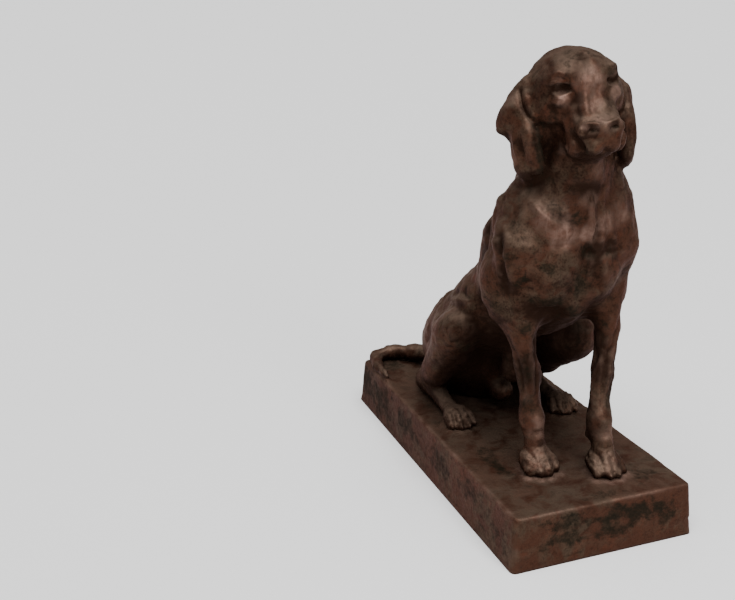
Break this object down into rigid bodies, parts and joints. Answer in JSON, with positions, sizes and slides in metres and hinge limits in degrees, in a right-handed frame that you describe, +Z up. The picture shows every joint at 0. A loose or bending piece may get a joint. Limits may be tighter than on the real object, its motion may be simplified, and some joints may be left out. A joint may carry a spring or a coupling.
{
  "type": "cast iron dog statue",
  "caption": "Seated life-size hound with long hanging ears, cast in iron on a rectangular plinth, for a garden, a gateway or a doorway.",
  "frame": {"origin": "centre of the plinth's underside, on the ground", "axes": "+Z up; the hound faces -Y, with its own left side towards +X; the plinth's long side runs along Y"},
  "size_m": [0.344, 0.71, 0.798],
  "materials": {
    "plinth": "weathered brown iron with greenish-black stains and a rubbed front edge",
    "hound": "weathered brown iron with dark stains and paler rubbed high places"
  },
  "bodies": {
    "root": {"plinth": "plinth", "hound": "hound"}
  },
  "joints": []
}
